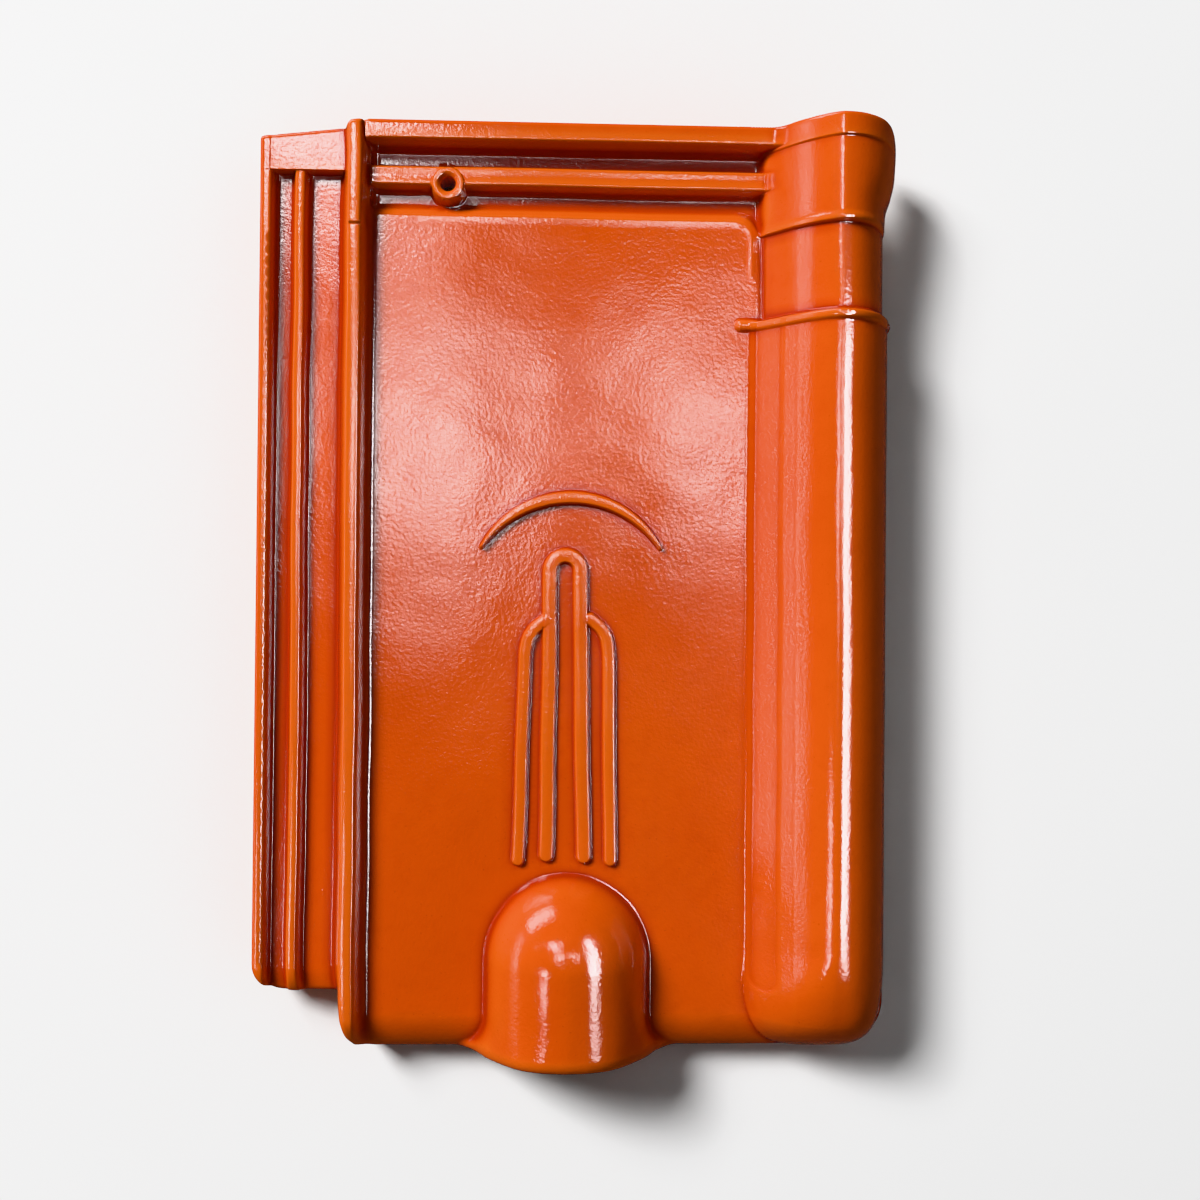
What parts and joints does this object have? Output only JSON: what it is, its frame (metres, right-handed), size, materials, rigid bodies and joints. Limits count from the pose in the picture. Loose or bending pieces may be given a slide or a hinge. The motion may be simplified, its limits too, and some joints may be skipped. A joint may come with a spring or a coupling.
{
  "type": "glazed roof tile",
  "caption": "Interlocking glazed clay roof tile: flat pan with a round nose dome, side water lock, double head lock, nail hole and a hollow roll that covers the next tile.",
  "frame": {"origin": "centre of the bounding box in plan, on the surface the tile lies on", "axes": "+Y towards the head of the tile, +X towards the roll, +Z out of the glazed face"},
  "size_m": [0.2392, 0.3472, 0.0494],
  "materials": {
    "glaze": "gloss orange-brown glaze on fired red clay, bare clay underneath"
  },
  "bodies": {
    "root": {"roof_tile": "glaze"}
  },
  "joints": []
}
